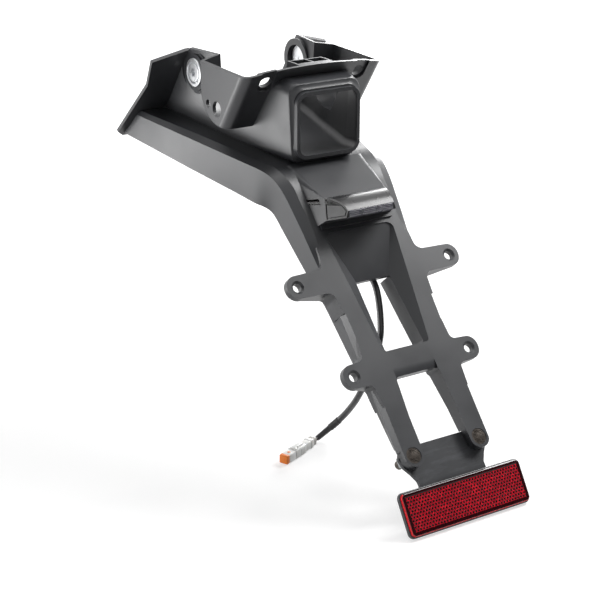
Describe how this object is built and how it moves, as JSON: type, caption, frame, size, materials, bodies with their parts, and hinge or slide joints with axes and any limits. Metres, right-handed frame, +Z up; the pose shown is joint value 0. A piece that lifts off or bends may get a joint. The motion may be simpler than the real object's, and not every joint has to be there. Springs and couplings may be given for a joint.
{
  "type": "tail tidy",
  "caption": "Number plate carrier with a duct housing, a bent ladder arm, a plate light with its cable and a red reflector.",
  "frame": {"origin": "on the axis of the two side fastenings, midway between them", "axes": "+X to the bike's right, +Y to the front of the bike, +Z up"},
  "size_m": [0.164, 0.3132, 0.2631],
  "materials": {
    "black_nylon": "moulded, fine texture",
    "light_black": "polished",
    "light_lens": "clear, polished",
    "circuit_board": "solder mask",
    "led_yellow": "moulded",
    "foam": "closed cell foam",
    "rubber_black": "matt",
    "black_steel": "black coating",
    "bracket_black": "powder coated",
    "zinc_steel": "zinc plated",
    "cable_black": "woven sleeve",
    "wire_red": "extruded",
    "wire_dark": "extruded",
    "plug_white": "moulded",
    "plug_orange": "moulded",
    "reflector_red": "clear red, polished"
  },
  "bodies": {
    "root": {"support_arm": "black_nylon", "housing": "black_nylon", "side_washers": "zinc_steel", "side_screws": "zinc_steel", "side_nuts": "zinc_steel", "joint_screws": "black_steel", "plate_light_body": "light_black", "plate_light_lens": "light_lens", "light_board": "circuit_board", "light_leds": "led_yellow", "light_gasket": "foam", "light_screws": "zinc_steel", "cable_grommet": "rubber_black", "cable": "cable_black", "wire_red": "wire_red", "wire_dark": "wire_dark", "plug_seal": "rubber_black", "plug_body": "plug_white", "plug_lock": "plug_orange", "reflector_bracket": "bracket_black", "bracket_screws": "black_steel", "bracket_nuts": "zinc_steel", "reflector_base": "black_nylon", "reflector_lens": "reflector_red", "reflector_nuts": "zinc_steel"}
  },
  "joints": []
}
